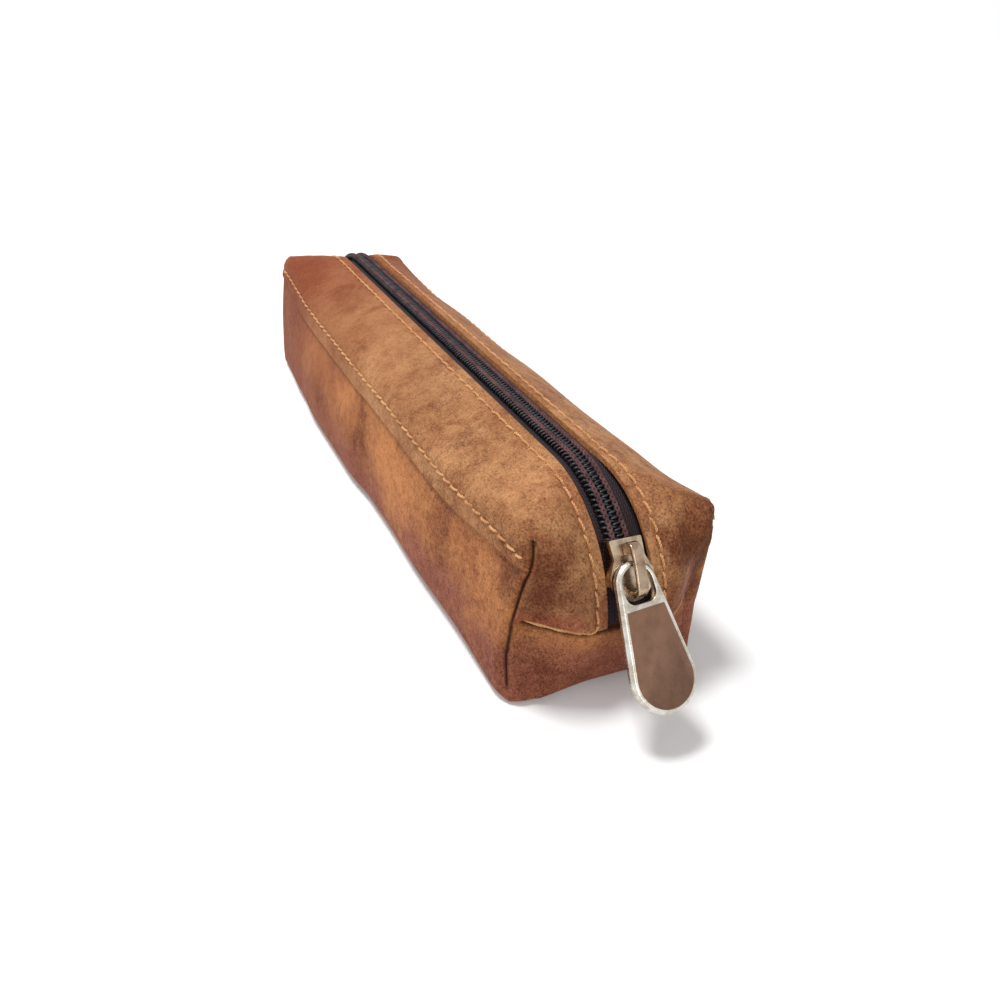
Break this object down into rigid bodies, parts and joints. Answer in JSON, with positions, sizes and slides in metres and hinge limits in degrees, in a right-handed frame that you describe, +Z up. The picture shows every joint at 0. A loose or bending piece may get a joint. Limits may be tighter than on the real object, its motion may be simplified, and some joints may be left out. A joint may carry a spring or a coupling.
{
  "type": "zipped leather pencil case",
  "caption": "Slim boxed leather case that stands on its base, with a coil zip along its ridge and down both ends, a metal slider and a swinging paddle puller.",
  "frame": {"origin": "centre of the base, on the surface the case stands on", "axes": "+X along the case towards the closed end of the zip, where the slider is; +Y across; +Z up"},
  "size_m": [0.2319, 0.0534, 0.0476],
  "materials": {
    "top_leather": "waxed pull-up leather, satin",
    "body_leather": "waxed pull-up leather, satin",
    "zip_tape": "woven polyester",
    "zip_coil": "moulded nylon wire, satin",
    "coil_thread": "twisted polyester",
    "seam_thread": "waxed bonded thread",
    "stop_metal": "nickel plated",
    "slider_metal": "nickel plated, bright",
    "puller_metal": "nickel plated, satin face with a bright bevel"
  },
  "bodies": {
    "case": {"body_panel": "body_leather", "top_panel_left": "top_leather", "top_panel_right": "top_leather", "zip_tape_left": "zip_tape", "zip_tape_right": "zip_tape", "zip_coil_left": "zip_coil", "zip_coil_right": "zip_coil", "coil_stitching_left": "coil_thread", "coil_stitching_right": "coil_thread", "top_stop_left": "stop_metal", "top_stop_right": "stop_metal", "zip_stitching_left": "seam_thread", "zip_stitching_right": "seam_thread", "lap_stitching_left": "seam_thread", "lap_stitching_right": "seam_thread", "end_seam_stitching_front": "seam_thread", "end_seam_stitching_rear": "seam_thread", "corner_seam_stitching_front_left": "seam_thread", "corner_seam_stitching_front_right": "seam_thread", "corner_seam_stitching_rear_left": "seam_thread", "corner_seam_stitching_rear_right": "seam_thread"},
    "slider": {"slider_body": "slider_metal", "slider_crown": "slider_metal"},
    "puller": {"puller": "puller_metal"}
  },
  "joints": [
    {"name": "slider_travel", "type": "hinge", "parent": "case", "child": "slider", "pos_m": [0.074, 0, 0.0135], "axis": [0, 1, 0], "range_deg": [-56.5, 0], "deforming": ["zip_tape_left", "zip_tape_right", "zip_coil_left", "zip_coil_right", "coil_stitching_left", "coil_stitching_right"]},
    {"name": "puller_flip", "type": "hinge", "parent": "slider", "child": "puller", "pos_m": [0.1042, -0.0009, 0.03504], "axis": [0, 1, 0], "range_deg": [-170, 0]}
  ]
}
